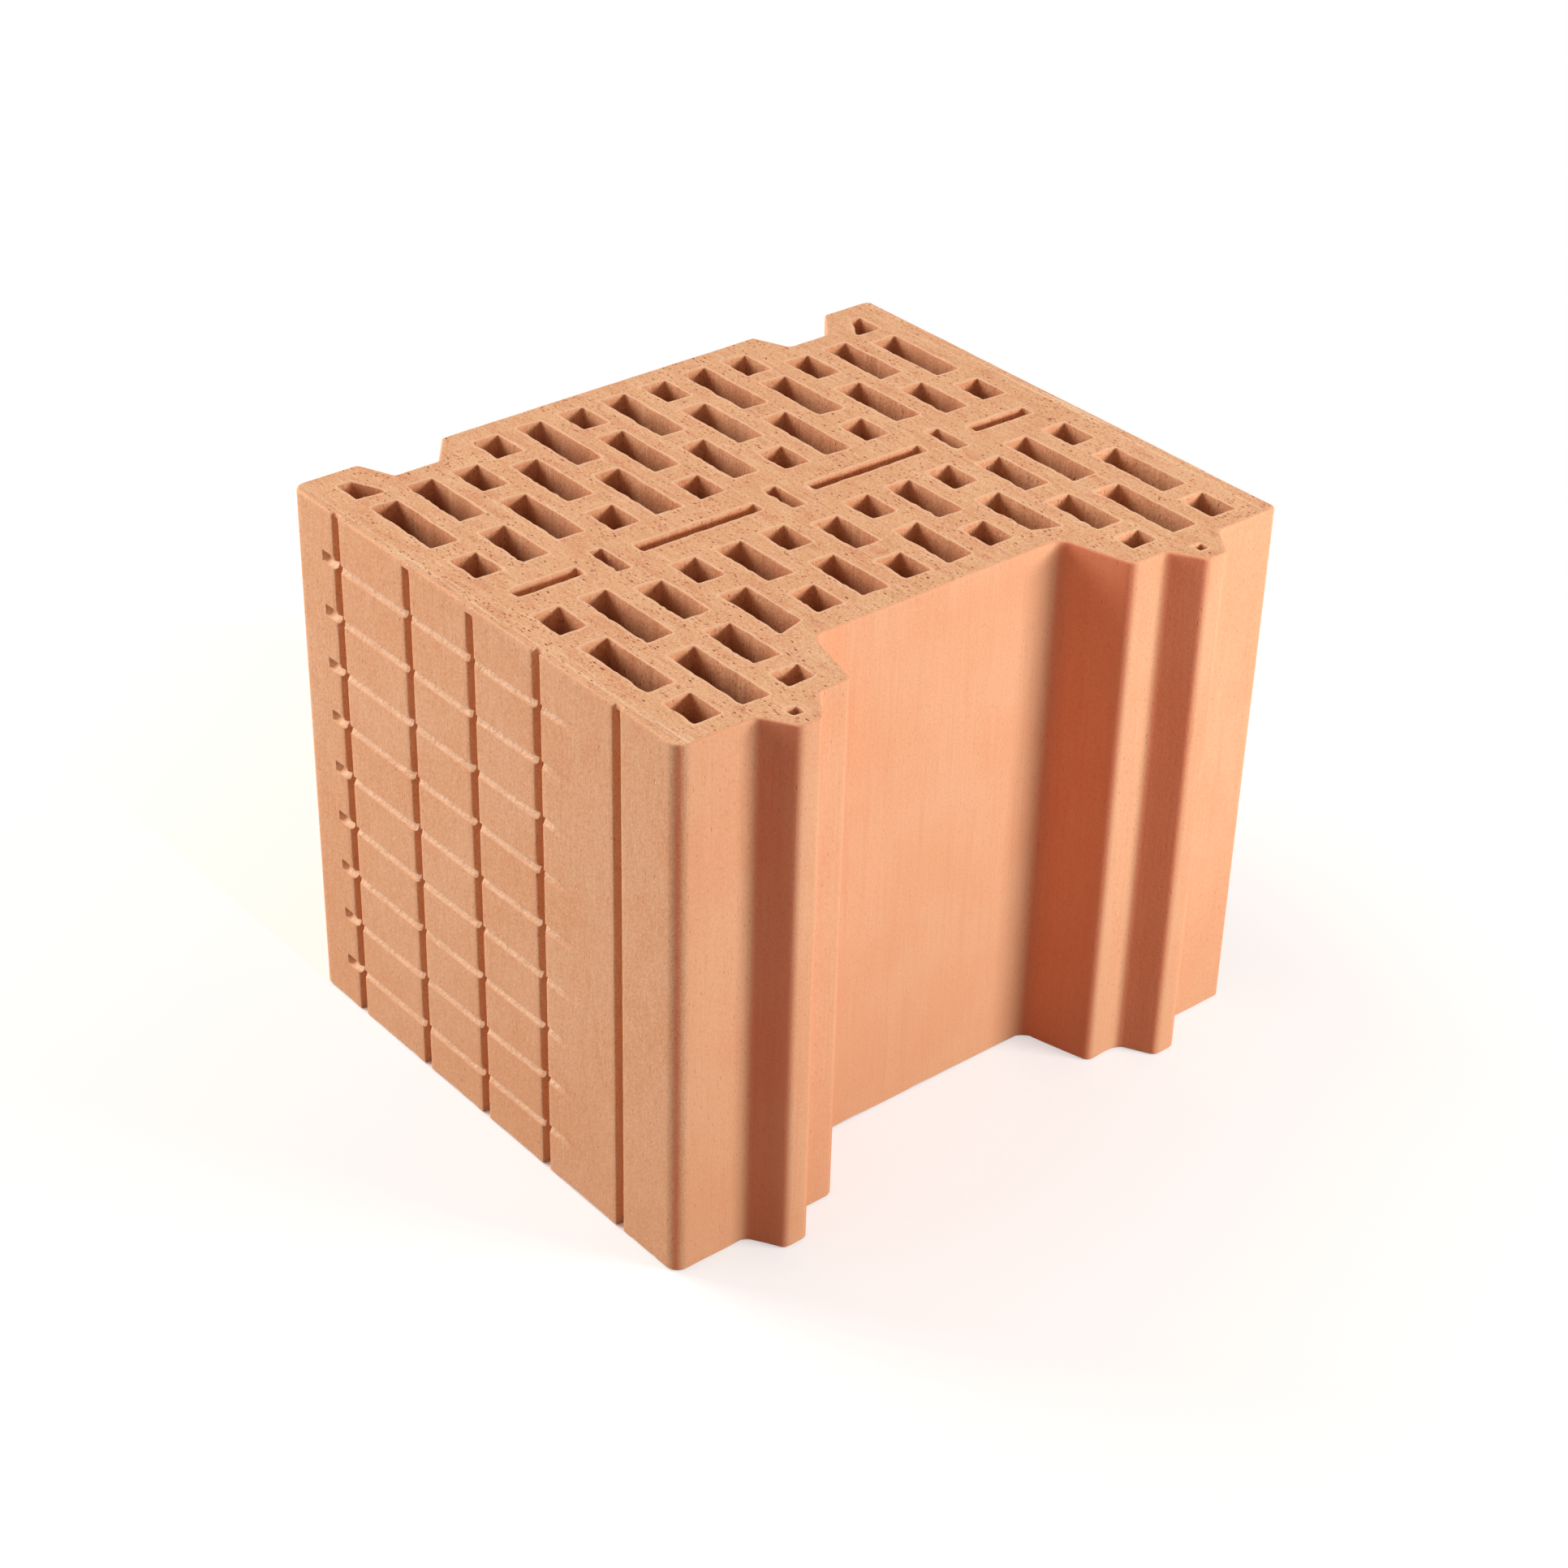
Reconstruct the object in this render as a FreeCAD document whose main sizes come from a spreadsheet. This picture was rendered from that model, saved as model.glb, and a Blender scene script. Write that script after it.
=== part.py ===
"""Hollow clay block with vertical perforations, tongue and groove ends and one keyed plaster face.

The frame: X runs along the wall, Y through its thickness and Z up. The sketches are drawn around the
middle of the two end faces, and the finished block is moved so that the origin is the middle of its box
on the lower bed.
"""
import FreeCAD, Part
import os
import Sketcher

NODE = "clay_block"
ROW_COUNT = 13
OUTER_ROW = ROW_COUNT // 2
RECESS_ROW = 3
TONGUE_ROW = 5
SLOT_ROWS = (0, 4)
TOUCH = 0.001
CUBIC_CENTIMETRE = 1000

# Driving dimensions in millimetres
DIMENSIONS = {
    "block_length": 248,
    "block_width": 300,
    "block_height": 238,
    "face_shell": 15,
    "end_shell": 11.5,
    "tongue_shell": 10,
    "recess_shell": 12.5,
    "row_web": 9.5,
    "cell_web": 12,
    "mid_web": 15,
    "short_cell": 17.5,
    "medium_cell": 29,
    "long_cell": 41,
    "groove_cell": 21,
    "end_cell": 10,
    "corner_cell": 14,
    "corner_floor": 1.5,
    "corner_side_upper": 4,
    "corner_side_lower": 6.5,
    "recess_cell_slant": 4,
    "slit_width": 6,
    "slit_overrun": 1.5,
    "slot_width": 6,
    "slot_length": 19,
    "tongue_reach": 14.5,
    "tongue_tip": 10.5,
    "tongue_upper_run": 10,
    "tongue_lower_run": 8.5,
    "tongue_radius": 4.5,
    "tongue_hole": 4.5,
    "tongue_hole_out": 5,
    "groove_end_gap": 2,
    "groove_side_gap": 5,
    "groove_upper_run": 13,
    "groove_lower_run": 7,
    "groove_radius": 2.5,
    "recess_depth": 32,
    "recess_flank_run": 8.5,
    "recess_root_radius": 6.5,
    "recess_edge_radius": 4.5,
    "front_edge_radius": 6,
    "back_edge_radius": 3,
    "key_groove_width": 4.5,
    "key_groove_depth": 4.5,
    "key_groove_radius": 1.8,
    "key_groove_middle": -2,
    "key_groove_inner": 42,
    "key_groove_outer": 90.5,
}

doc = FreeCAD.newDocument("hollow_clay_block")
sheet = doc.addObject("Spreadsheet::Sheet", "Dims")
for line, (alias, size) in enumerate(DIMENSIONS.items(), start=1):
    sheet.set(f"A{line}", alias)
    sheet.set(f"B{line}", str(size))
    sheet.setAlias(f"B{line}", alias)
doc.recompute()

body = doc.addObject("PartDesign::Body", "ClayBlock")
body.Label = NODE
body.setExpression("Placement.Base.x", "-Dims.tongue_reach / 2")
origin = {feature.Role: feature for feature in body.Origin.OriginFeatures}

# Lengths that follow from the driving dimensions
HALF_LENGTH = "Dims.block_length / 2"
HALF_WIDTH = "Dims.block_width / 2"
CELL_WIDTH = (
    f"((Dims.block_width - 2 * Dims.face_shell - {ROW_COUNT - 1} * Dims.row_web) / {ROW_COUNT})"
)
ROW_PITCH = f"({CELL_WIDTH} + Dims.row_web)"
MID_END = "(Dims.slit_width / 2 + Dims.mid_web)"
SLOT_END = "(Dims.slot_length / 2 + Dims.mid_web)"
GROOVE_DEPTH = "(Dims.tongue_reach + Dims.groove_end_gap)"
GROOVE_FLOOR = "(Dims.tongue_tip / 2 + Dims.groove_side_gap)"
TONGUE_PLACE = f"({TONGUE_ROW} * {ROW_PITCH} - {CELL_WIDTH} / 2)"
RECESS_MOUTH = f"({RECESS_ROW} * {ROW_PITCH} + {CELL_WIDTH} / 2)"


def new_sketch(name, plane):
    """Makes an empty sketch on one of the body's origin planes."""
    sketch = body.newObject("Sketcher::SketchObject", name)
    sketch.AttachmentSupport = [(origin[plane], "")]
    sketch.MapMode = "FlatFace"
    return sketch


def places_of(sketch, corners):
    """Works out where corners lie, each a pair of expressions."""
    places = []
    for across, along in corners:
        places.append(FreeCAD.Vector(sketch.evalExpression(across), sketch.evalExpression(along), 0))
    return places


def draw_outline(sketch, corners):
    """Draws a closed outline through corners, which stay bound to their expressions."""
    places = places_of(sketch, corners)
    first = sketch.GeometryCount
    lines = [Part.LineSegment(start, end) for start, end in zip(places, places[1:] + places[:1])]
    sketch.addGeometry(lines)
    for step, (place, corner) in enumerate(zip(places, corners)):
        line = first + step
        following = first + (step + 1) % len(corners)
        sketch.addConstraint(Sketcher.Constraint("Coincident", line, 2, following, 1))
        for kind, value, expression in zip(("DistanceX", "DistanceY"), place, corner):
            number = sketch.addConstraint(Sketcher.Constraint(kind, -1, 1, line, 1, value))
            sketch.setExpression(f"Constraints[{number}]", expression)


def draw_box(sketch, left, right, low, high):
    """Draws a rectangle between four expressions."""
    draw_outline(sketch, [(left, low), (right, low), (right, high), (left, high)])


def cut_through(sketch, name):
    """Cuts a bed sketch through the whole height and returns the pocket, once it has taken clay away."""
    before = body.Shape.Volume
    pocket = body.newObject("PartDesign::Pocket", name)
    pocket.Profile = sketch
    pocket.Type = "ThroughAll"
    pocket.Reversed = True
    doc.recompute()
    if body.Shape.Volume >= before:
        raise ValueError(f"{name} cuts nothing")
    return pocket


def upright_edges(shape, places):
    """Names the upright edges that stand at the given places."""
    found = []
    for number, edge in enumerate(shape.Edges, start=1):
        ends = [vertex.Point for vertex in edge.Vertexes]
        foot = FreeCAD.Vector(ends[0].x, ends[0].y, 0)
        upright = len(ends) == 2 and foot.isEqual(FreeCAD.Vector(ends[1].x, ends[1].y, 0), TOUCH)
        if upright and any(foot.isEqual(place, TOUCH) for place in places):
            found.append(f"Edge{number}")
    return found


def round_edges(name, places, radius):
    """Rounds the upright edges at the given places."""
    base = body.Tip
    fillet = body.newObject("PartDesign::Fillet", name)
    fillet.Base = (base, upright_edges(base.Shape, places))
    fillet.setExpression("Radius", f"Dims.{radius}")
    doc.recompute()


def tongue(place):
    """Corners of one tongue, from -Y to +Y, around a place along the end face."""
    root = f"({HALF_LENGTH})"
    crest = f"({HALF_LENGTH} + Dims.tongue_reach)"
    return [
        (root, f"{place} - Dims.tongue_tip / 2 - Dims.tongue_lower_run"),
        (crest, f"{place} - Dims.tongue_tip / 2"),
        (crest, f"{place} + Dims.tongue_tip / 2"),
        (root, f"{place} + Dims.tongue_tip / 2 + Dims.tongue_upper_run"),
    ]


def groove(place):
    """Corners of the groove that takes such a tongue, from +Y to -Y."""
    mouth = f"-({HALF_LENGTH})"
    floor = f"-({HALF_LENGTH}) + {GROOVE_DEPTH}"
    return [
        (mouth, f"{place} + {GROOVE_FLOOR} + Dims.groove_upper_run"),
        (floor, f"{place} + {GROOVE_FLOOR}"),
        (floor, f"{place} - {GROOVE_FLOOR}"),
        (mouth, f"{place} - {GROOVE_FLOOR} - Dims.groove_lower_run"),
    ]


# The outline in plan: keyed face, tongue end with its recess, plain face, groove end
recess_floor = f"{HALF_LENGTH} - Dims.recess_depth"
recess_side = f"{RECESS_MOUTH} - Dims.recess_flank_run"
front_corners = [(f"-({HALF_LENGTH})", f"-({HALF_WIDTH})"), (HALF_LENGTH, f"-({HALF_WIDTH})")]
front_tongue = tongue(f"-{TONGUE_PLACE}")
recess_edges = [(HALF_LENGTH, f"-{RECESS_MOUTH}"), (HALF_LENGTH, RECESS_MOUTH)]
recess_roots = [(recess_floor, f"-({recess_side})"), (recess_floor, recess_side)]
back_tongue = tongue(TONGUE_PLACE)
back_corners = [(HALF_LENGTH, HALF_WIDTH), (f"-({HALF_LENGTH})", HALF_WIDTH)]
grooves = groove(TONGUE_PLACE) + groove(f"-{TONGUE_PLACE}")
recess = recess_edges[:1] + recess_roots + recess_edges[1:]
outline = new_sketch("Outline", "XY_Plane")
draw_outline(outline, front_corners + front_tongue + recess + back_tongue + back_corners + grooves)
pad = body.newObject("PartDesign::Pad", "Clay")
pad.Profile = outline
pad.setExpression("Length", "Dims.block_height")
doc.recompute()

# Upright edges as the extruder's mouth leaves them
round_edges("FrontEdges", places_of(outline, front_corners), "front_edge_radius")
round_edges("TongueEdges", places_of(outline, front_tongue + back_tongue), "tongue_radius")
round_edges("RecessRoots", places_of(outline, recess_roots), "recess_root_radius")
round_edges("RecessEdges", places_of(outline, recess_edges), "recess_edge_radius")
round_edges("BackEdges", places_of(outline, back_corners), "back_edge_radius")
round_edges("GrooveEdges", places_of(outline, grooves), "groove_radius")

# How far from the block's middle the cells of a half row may reach
PLAIN_END = f"({HALF_LENGTH} - Dims.end_shell)"
GROOVE_END = f"({HALF_LENGTH} - {GROOVE_DEPTH} - Dims.end_shell)"
CORNER_END = f"({PLAIN_END} - Dims.corner_cell - Dims.row_web)"
TONGUE_END = f"({HALF_LENGTH} - Dims.tongue_shell)"
RECESS_END = f"({HALF_LENGTH} - Dims.recess_depth - Dims.recess_shell)"

# Half rows from the middle of the block outwards: where they begin and end, the cell of set length at the
# inner end, the one at the outer end and the web beside it. One more cell takes up what is left between.
GROOVE_HALF = [
    (SLOT_END, PLAIN_END, None, "long_cell", "cell_web"),
    (MID_END, PLAIN_END, "short_cell", "short_cell", "row_web"),
    (MID_END, PLAIN_END, "long_cell", None, None),
    (MID_END, PLAIN_END, "short_cell", "short_cell", "row_web"),
    (SLOT_END, GROOVE_END, None, "groove_cell", "cell_web"),
    (MID_END, GROOVE_END, "medium_cell", None, None),
    (MID_END, CORNER_END, "short_cell", None, None),
]
TONGUE_HALF = [
    (SLOT_END, RECESS_END, None, "short_cell", "cell_web"),
    (MID_END, RECESS_END, "short_cell", None, None),
    (MID_END, RECESS_END, None, "short_cell", "cell_web"),
    (MID_END, RECESS_END, "short_cell", None, None),
    (SLOT_END, TONGUE_END, "medium_cell", "end_cell", "row_web"),
    (MID_END, TONGUE_END, "long_cell", None, None),
    (MID_END, TONGUE_END, "short_cell", "short_cell", "row_web"),
]


def row_low(row):
    """The side of a row of cells that faces -Y."""
    return f"{row} * {ROW_PITCH} - {CELL_WIDTH} / 2"


def row_high(row):
    """The side of a row of cells that faces +Y."""
    return f"{row} * {ROW_PITCH} + {CELL_WIDTH} / 2"


def half_row(near, far, inner, outer, outer_web):
    """Near and far ends of the cells in a half row, the cell that takes up the rest last."""
    cells = []
    if inner:
        cells.append((near, f"{near} + Dims.{inner}"))
        near = f"({near} + Dims.{inner} + Dims.cell_web)"
    if outer:
        cells.append((f"{far} - Dims.{outer}", far))
        far = f"({far} - Dims.{outer} - Dims.{outer_web})"
    return cells + [(near, far)]


def draw_row(row):
    """Draws the cells of one row on both sides of the middle."""
    sketch = new_sketch(f"Row{row}", "XY_Plane")
    low = row_low(row)
    high = row_high(row)
    for near, far in half_row(*GROOVE_HALF[row]):
        draw_box(sketch, f"-({far})", f"-({near})", low, high)
    tongue_cells = half_row(*TONGUE_HALF[row])
    if row == RECESS_ROW:
        near, far = tongue_cells.pop()
        slanted = f"{far} + Dims.recess_cell_slant"
        draw_outline(sketch, [(near, low), (far, low), (slanted, high), (near, high)])
    for near, far in tongue_cells:
        draw_box(sketch, near, far, low, high)
    if row in SLOT_ROWS:
        middle = f"{row} * {ROW_PITCH}"
        half_slot = "Dims.slot_length / 2"
        draw_box(sketch, f"-{half_slot}", half_slot,
                 f"{middle} - Dims.slot_width / 2", f"{middle} + Dims.slot_width / 2")
    return sketch


# The row on the middle line, then the rows, slits and tongue holes of one half with their mirror images
rows = [draw_row(row) for row in range(OUTER_ROW + 1)]
slits = new_sketch("Slits", "XY_Plane")
half_slit = "Dims.slit_width / 2"
for low, high in (
    (row_low(1), row_high(RECESS_ROW)),
    (row_low(TONGUE_ROW), f"{OUTER_ROW} * {ROW_PITCH}"),
):
    draw_box(slits, f"-{half_slit}", half_slit, f"{low} - Dims.slit_overrun", f"{high} + Dims.slit_overrun")
tongue_holes = new_sketch("TongueHoles", "XY_Plane")
hole_place = f"({HALF_LENGTH} + Dims.tongue_hole_out)"
half_hole = "Dims.tongue_hole / 2"
draw_box(tongue_holes, f"{hole_place} - {half_hole}", f"{hole_place} + {half_hole}",
         f"{TONGUE_PLACE} - {half_hole}", f"{TONGUE_PLACE} + {half_hole}")
cut_through(rows[0], "CutRow0")
mirrored_sketches = rows[1:] + [slits, tongue_holes]
mirrored_cuts = [cut_through(sketch, f"Cut{sketch.Name}") for sketch in mirrored_sketches]
mirror = body.newObject("PartDesign::Mirrored", "OtherHalf")
mirror.Originals = mirrored_cuts
mirror.MirrorPlane = (origin["XZ_Plane"], [""])
body.Tip = mirror
doc.recompute()

# The two corner cells beside the grooves, each with a side cut off along its groove's flank
corners = new_sketch("CornerCells", "XY_Plane")
corner_left = f"-{PLAIN_END}"
corner_right = f"-{PLAIN_END} + Dims.corner_cell"
corner_turn = f"{corner_right} - Dims.corner_floor"
for inner, outer, kept in (
    (row_low(OUTER_ROW), row_high(OUTER_ROW), "- Dims.corner_side_upper"),
    (row_high(-OUTER_ROW), row_low(-OUTER_ROW), "+ Dims.corner_side_lower"),
):
    draw_outline(corners, [
        (corner_left, outer),
        (corner_left, f"{outer} {kept}"),
        (corner_turn, inner),
        (corner_right, inner),
        (corner_right, outer),
    ])
cut_through(corners, "CutCornerCells")

# Upright key grooves in the keyed face, with round roots
keys = new_sketch("KeyGrooves", "XY_Plane")
key_floor = f"-({HALF_WIDTH}) + Dims.key_groove_depth"
key_outside = f"-({HALF_WIDTH}) - Dims.key_groove_depth"
key_roots = []
for offset in ("- Dims.key_groove_outer", "- Dims.key_groove_inner", "", "+ Dims.key_groove_inner",
               "+ Dims.key_groove_outer"):
    left = f"Dims.key_groove_middle {offset} - Dims.key_groove_width / 2"
    right = f"Dims.key_groove_middle {offset} + Dims.key_groove_width / 2"
    draw_box(keys, left, right, key_outside, key_floor)
    key_roots += [(left, key_floor), (right, key_floor)]
cut_through(keys, "CutKeyGrooves")
round_edges("KeyGrooveRoots", places_of(keys, key_roots), "key_groove_radius")

doc.recompute()
for item in doc.Objects:
    if "Invalid" in item.State or "Error" in item.State:
        raise ValueError(f"{item.Label} failed: {item.State}")
shape = body.Shape
if shape.isNull() or not shape.isValid() or len(shape.Solids) != 1:
    raise ValueError(f"{NODE} is not one sound solid")
os.makedirs("parts", exist_ok=True)
shape.exportStep(f"parts/{body.Label}.step")
print(NODE, "volume cm3", round(shape.Volume / CUBIC_CENTIMETRE, 1), "box", shape.BoundBox)
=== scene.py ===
"""The looks of a hollow clay block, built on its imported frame.

The frame's upper bed gives every outline. Each outline is softened and made a little uneven, as wet
clay leaves a die, and is drawn down the height of the block. One closed body takes the frame's place.
"""

import math

import bpy
import numpy as np
from mathutils import Matrix, Vector, noise
from mathutils.geometry import delaunay_2d_cdt


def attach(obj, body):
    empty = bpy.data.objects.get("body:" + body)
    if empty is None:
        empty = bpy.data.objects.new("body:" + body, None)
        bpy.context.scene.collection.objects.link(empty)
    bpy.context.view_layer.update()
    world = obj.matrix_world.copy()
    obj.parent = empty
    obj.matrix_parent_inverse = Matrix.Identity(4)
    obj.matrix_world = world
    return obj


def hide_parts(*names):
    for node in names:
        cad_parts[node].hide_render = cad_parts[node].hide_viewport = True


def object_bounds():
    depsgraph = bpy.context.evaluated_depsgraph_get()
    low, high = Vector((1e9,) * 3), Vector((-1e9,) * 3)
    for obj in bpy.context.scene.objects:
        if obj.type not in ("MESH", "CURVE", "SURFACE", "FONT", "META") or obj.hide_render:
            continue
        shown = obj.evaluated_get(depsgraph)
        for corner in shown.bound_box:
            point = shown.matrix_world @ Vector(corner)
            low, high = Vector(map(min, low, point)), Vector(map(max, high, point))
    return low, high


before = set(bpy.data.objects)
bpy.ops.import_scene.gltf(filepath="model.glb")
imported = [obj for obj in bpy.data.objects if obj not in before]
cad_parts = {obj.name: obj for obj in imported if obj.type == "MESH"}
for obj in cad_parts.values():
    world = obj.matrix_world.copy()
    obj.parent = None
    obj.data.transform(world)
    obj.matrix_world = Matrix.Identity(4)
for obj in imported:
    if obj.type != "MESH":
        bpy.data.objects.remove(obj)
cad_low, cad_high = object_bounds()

NODE = "clay_block"
MM = 0.001
SEED = 7.3
TRIANGLE_LIMIT = 200000

TOP = cad_high.z / MM
FRONT = cad_low.y / MM
BACK = cad_high.y / MM
END = -cad_low.x / MM

# Reading the frame: the least Z of a level face's normal, what counts as the same height in mm, and the
# decimals of a millimetre that tell two places apart
LEVEL = 0.9
NEAR = 0.02
PLACE_DECIMALS = 3

# The widest steps between points along an outline or up a wall, in mm
CELL_STEP = 2.2
FRONT_STEP = 2.0
SIDE_STEP = 8.0
NOTCH_STEP = 0.9
FACE_GAP = 10.0

# A corner of an outline: the least turn that counts as one, the parts of its arc, and the most of a side
# that the arc takes up
CORNER_TURN = math.radians(20)
CORNER_PARTS = 3
CORNER_SHARE = 0.45

# The parts of the arc between a bed and a wall, and the angle from which an edge is shaded as sharp
TOP_ARC = 4
LOW_ARC = 1
SHARP_ANGLE = math.radians(27)

# The web of a bed: the kind that fills the outlines and leaves their holes out, and how near two points
# are one, in mm
INSIDE_WITH_HOLES = 2
SAME_SPOT = 1e-6

# Room for a round at a corner: the turn in radians below which an outline counts as straight, the share of
# the room that is used, the room on a straight in mm, and how many points each side of a corner it concerns
STRAIGHT_TURN = 1e-3
ROOM_SHARE = 0.7
ROOM_PLENTY = 99.0
ROOM_POINTS = 3

# Softness and unevenness that the die leaves along a wall, in mm
CELL_CORNER = 0.8
EDGE_CORNER = 0.8
CELL_WAVE = 0.4
CELL_WAVE_SIZES = (9.0, 3.5)
CELL_FINE_SHARE = 0.6
CELL_DRIFT_SHARE = 0.6
CELL_DRIFT_SIZE = 30.0
WALL_WAVE = 0.3
WALL_WAVE_SIZE = 45.0
WALL_WAVE_UPRIGHT = 0.35

# How far a whole cell is off its place or leans, in mm. Each of these values is drawn once for a cell,
# from a line of its own in the waves and with its own spacing from cell to cell.
CELL_SEED_STEP = 3.7
CELL_SHIFT = 0.5
SHIFT_LINES = (11.5, 23.5)
SHIFT_SPACING = 0.37
CELL_LEAN = 1.3
LEAN_MEAN = 0.35
LEAN_VARIES = 0.65
LEAN_LINE = 3.1
LEAN_SPACING = 0.41

# What the cutting wire does to the edges of a bed: worn round, torn, rolled over or dragged, in mm.
# A higher bias touches more of an edge.
MOUTH_ROUND = 0.25
MOUTH_ROLL = 0.6
MOUTH_ROLL_SIZE = 6.0
MOUTH_ROLL_VARIES = 0.35
MOUTH_TEAR = 1.0
MOUTH_TEAR_SIZE = 4.5
MOUTH_TEAR_BIAS = 0.1
MOUTH_TEAR_SHARE = 0.7
MOUTH_NICK_SIZE = 1.8
MOUTH_NICK_BIAS = -0.25
MOUTH_DRAG = 1.2
MOUTH_DRAG_SIZE = 3.2
MOUTH_DRAG_BIAS = 0.15
RIM_ROUND = 0.8
RIM_TEAR = 1.0
RIM_TEAR_SIZE = 9.0
RIM_TEAR_SHARE = 0.6
RIM_NICK_SIZE = 3.0
RIM_NICK_BIAS = -0.2
# The shares of painted highlight on the rounded edges of a cell's mouth and of the outer rim
MOUTH_HIGHLIGHT = 1.0
RIM_HIGHLIGHT = 0.3
BURR = 0.22
BURR_BAND = 1.3
BURR_VARIES = 0.4
BURR_SIZE = 6.0

# Steps between the seeds of waves that must not look alike
ROLL_SEED = 20
NICK_SEED = 40
DRAG_SEED = 60
LOW_MOUTH_SEED = 90
LOW_RIM_SEED = 30
FADE_SEED = 5

# Depths below a bed at which a cell wall has a ring of points, in mm
CELL_DROPS_TOP = (4.2, 8.0, 20.0, 60.0)
CELL_DROPS_BOTTOM = (4.2,)

# The scores across the front face, in mm: their heights, how deep they are pressed, and where they fade.
# A profile gives a share of the depth at each height above the score's foot. A score pushes a lip of clay
# into a key groove off the bank where the way into the clay has less X than LIP_BANK.
SCORE_FIRST = 19.0
SCORE_PITCH = 24.3
SCORE_COUNT = 9
SCORE_RISE = 3.9
SCORE_DEPTH = 1.5
SCORE_WAVE = 0.7
SCORE_WAVE_SIZE = 55.0
SCORE_START = -110.0
SCORE_START_RUN = (-0.2, 0.5)
# Where past the start along X a score gets painted highlight, and at what pressed depth that highlight is
# full
SCORE_HIGHLIGHT_RUN = (1.5, 5.0)
SCORE_HIGHLIGHT_DEPTH = 0.5 * SCORE_DEPTH
SCORE_FULL_END = 32.0
SCORE_FADE_END = 55.0
SCORE_FADE_WAVE = 9.0
SCORE_FADE_SIZE = 14.0
NOTCH_RISE = 5.4
NOTCH_LEAD = 1.0
NOTCH_LENGTH = 9.0
NOTCH_DEPTH = 3.6
LIP = 1.7
LIP_BANK = -0.5
SCORE_PROFILE = ((-0.3, 0.0), (0.0, 0.0), (0.6, 0.42), (2.0, 0.75), (3.3, 1.0), (SCORE_RISE, 0.0),
                 (NOTCH_RISE, 0.0))
LIP_PROFILE = ((-0.3, 0.0), (0.6, 0.8), (2.0, 1.0), (3.3, 0.9), (4.3, 0.0))
NOTCH_PROFILE = ((0.0, 0.0), (0.6, 0.15), (3.3, 0.85), (SCORE_RISE, 1.0), (NOTCH_RISE, 0.0))

# How the pressed clay tore along a score: the share of the depth, the size in mm, how much faster the fine
# tears change upwards, and how far apart two scores lie in the waves
TEAR_BROAD = 0.5
TEAR_BROAD_SIZE = 4.0
TEAR_BROAD_APART = 7.7
TEAR_FINE = 0.6
TEAR_FINE_SIZE = 2.1
TEAR_FINE_UPRIGHT = 2.0
TEAR_FINE_APART = 5.1
FADE_APART = 9.3

# The upright key grooves of the front face, in mm. Dragged clay closes their heads, and the rings of the
# wall stay level this near to the upper bed.
GROOVE_SURE = 1.0
GROOVE_LIP = 0.05
GROOVE_REACH = 6.0
GROOVE_APART = 9.0
HEAD_CLOSED = (1.0, 2.0, 3.0, 0.6, 1.0)
HEAD_ROUND = 2.5
HEAD_DROPS = (2.0, 3.0, 4.0, 5.0, 6.5, 8.0)
FOOT_LEVEL = 3.0
LEVEL_NEAR_BED = 4.0

# What belongs to the flat of the front face, in mm, and how far a wall must turn to be a flank that gets
# painted shade
FACE_DEPTH = 0.7
FACE_INSET = 1.0
BROAD_FACE_SHADE = (0.45, 0.65)
END_FLANK_SHADE = (0.3, 0.7)

# The finishes, in the order of the materials of the body
BED, SKIN, CELL, FACE = range(4)


def wave(x, y, z, size):
    """A smooth, repeatable value from about -1 to 1 that changes over the given size in mm."""
    return noise.noise(Vector((x / size, y / size, z / size)))


def bite(x, y, seed, size, bias):
    """How deep an edge is bitten at one place, from 0 to about 1: only the crests of a wave bite."""
    return max(0.0, wave(x, y, seed, size) + bias)


def smooth_step(low, high, value):
    """0 below the lower limit, 1 above the higher one, and an eased rise between them."""
    t = np.clip((value - low) / (high - low), 0, 1)
    return t * t * (3 - 2 * t)


def bed_loops(node, height):
    """The closed outlines of the frame's face at that height in mm, clay on the left, the longest first."""
    mesh = node.data
    ahead = {}
    for face in mesh.polygons:
        if face.normal.z < LEVEL or abs(face.center.z / MM - height) > NEAR:
            continue
        places = [mesh.vertices[i].co.xy / MM for i in face.vertices]
        spots = [tuple(round(c, PLACE_DECIMALS) for c in place) for place in places]
        for here, there in zip(spots, spots[1:] + spots[:1]):
            if here in ahead.get(there, ()):
                ahead[there].discard(here)
            else:
                ahead.setdefault(here, set()).add(there)
    loops = []
    left = {spot: after for spot, after in ahead.items() if after}
    while left:
        start = min(left)
        loop = [start]
        here = start
        while True:
            there = left[here].pop()
            if not left[here]:
                del left[here]
            if there == start:
                break
            loop.append(there)
            here = there
        loops.append(np.array(loop, float))
    return sorted(loops, key=lambda loop: -np.abs(np.diff(loop, axis=0)).sum())


def soften(loop, radius):
    """Turns each sharp corner of an outline into a short arc."""
    made = []
    count = len(loop)
    for i in range(count):
        before, here, after = loop[i - 1], loop[i], loop[(i + 1) % count]
        into, out = here - before, after - here
        long_in, long_out = np.hypot(*into), np.hypot(*out)
        into, out = into / long_in, out / long_out
        turn = math.atan2(into[0] * out[1] - into[1] * out[0], into @ out)
        if abs(turn) < CORNER_TURN:
            made.append(here)
            continue
        reach = min(radius * math.tan(abs(turn) / 2), CORNER_SHARE * long_in, CORNER_SHARE * long_out)
        first, last = here - into * reach, here + out * reach
        for k in range(CORNER_PARTS + 1):
            t = k / CORNER_PARTS
            made.append((1 - t) ** 2 * first + 2 * t * (1 - t) * here + t ** 2 * last)
    return np.array(made)


def divide(loop, step):
    """Adds points so that no two neighbours are further apart than the step at that place."""
    made = []
    for here, there in zip(loop, np.roll(loop, -1, axis=0)):
        parts = max(1, math.ceil(np.hypot(*(there - here)) / step((here + there) / 2)))
        made.extend(here + (there - here) * k / parts for k in range(parts))
    return np.array(made)


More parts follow.
